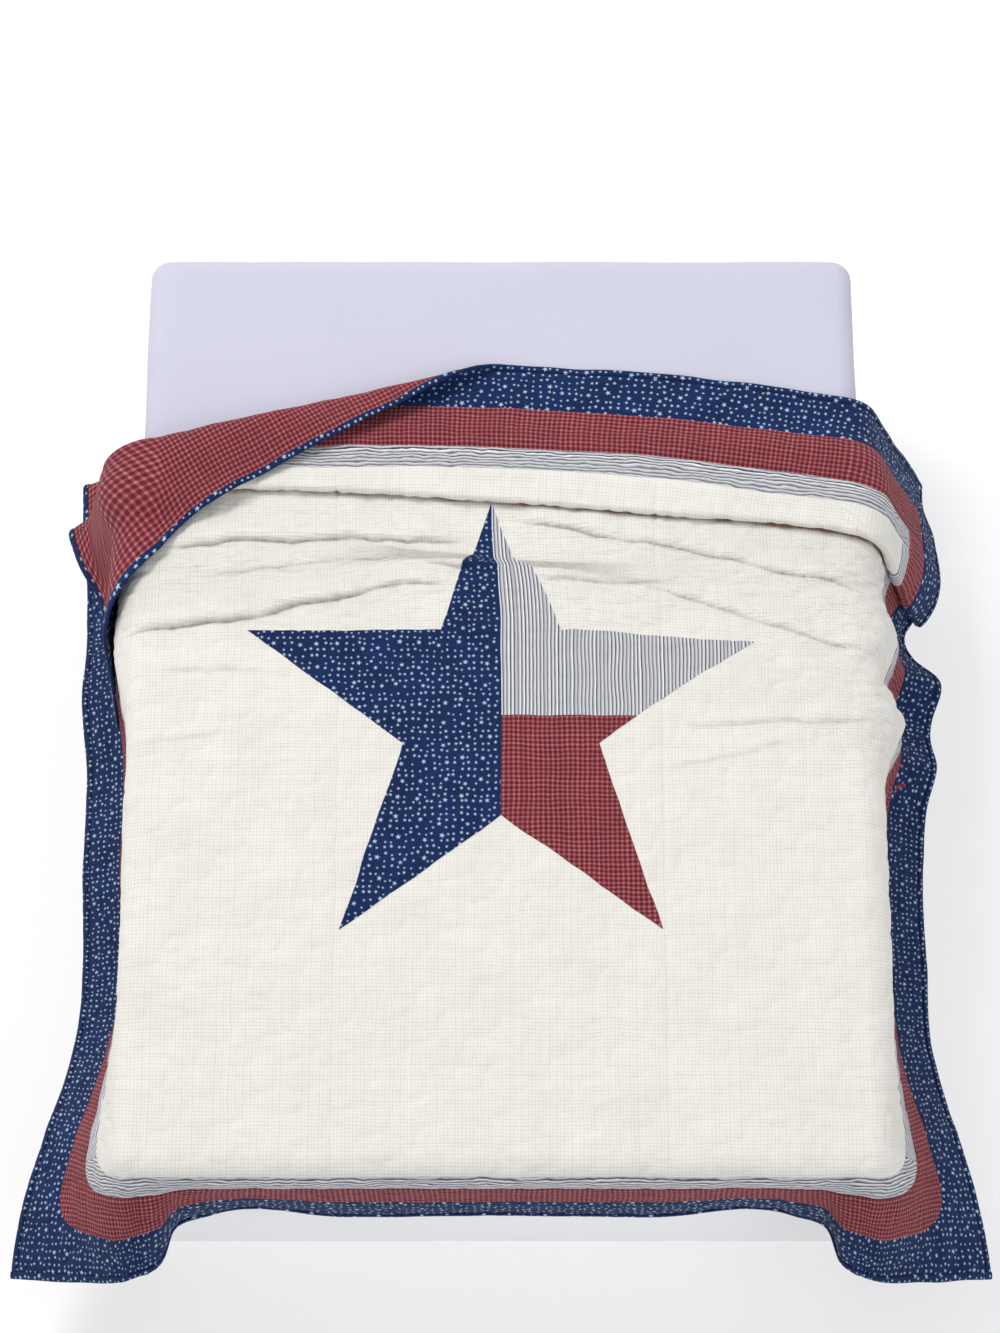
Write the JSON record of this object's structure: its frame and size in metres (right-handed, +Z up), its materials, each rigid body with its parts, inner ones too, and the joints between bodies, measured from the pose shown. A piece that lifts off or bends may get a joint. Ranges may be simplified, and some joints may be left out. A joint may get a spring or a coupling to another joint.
{
  "type": "star quilt on a bed",
  "caption": "Quilt with a pieced star and striped, checked and printed borders, draped over a bed with a pleat across it and its head corner turned back.",
  "frame": {"origin": "on the floor under the middle of the bed", "axes": "+Z up, +Y from the foot of the bed to its head, +X to the right seen from the foot"},
  "size_m": [1.9422, 2.1836, 0.6697],
  "materials": {
    "cream_cotton": "matt woven check, quilted",
    "ticking_cotton": "matt woven stripe, quilted",
    "red_check_cotton": "matt woven check, quilted",
    "navy_cotton": "matt print, quilted",
    "mattress_cotton": "matt woven cover",
    "base_cotton": "matt woven upholstery"
  },
  "bodies": {
    "root": {"field_left": "cream_cotton", "field_centre": "cream_cotton", "field_right": "cream_cotton", "ticking_foot": "ticking_cotton", "ticking_head": "ticking_cotton", "ticking_left": "ticking_cotton", "ticking_right": "ticking_cotton", "check_foot": "red_check_cotton", "check_head": "red_check_cotton", "check_left": "red_check_cotton", "check_right": "red_check_cotton", "navy_foot": "navy_cotton", "navy_head": "navy_cotton", "navy_left": "navy_cotton", "navy_right": "navy_cotton", "binding_foot": "navy_cotton", "binding_head": "navy_cotton", "binding_left": "navy_cotton", "binding_right": "navy_cotton", "reverse_corner": "red_check_cotton", "mattress": "mattress_cotton", "bed_base": "base_cotton"}
  },
  "joints": []
}
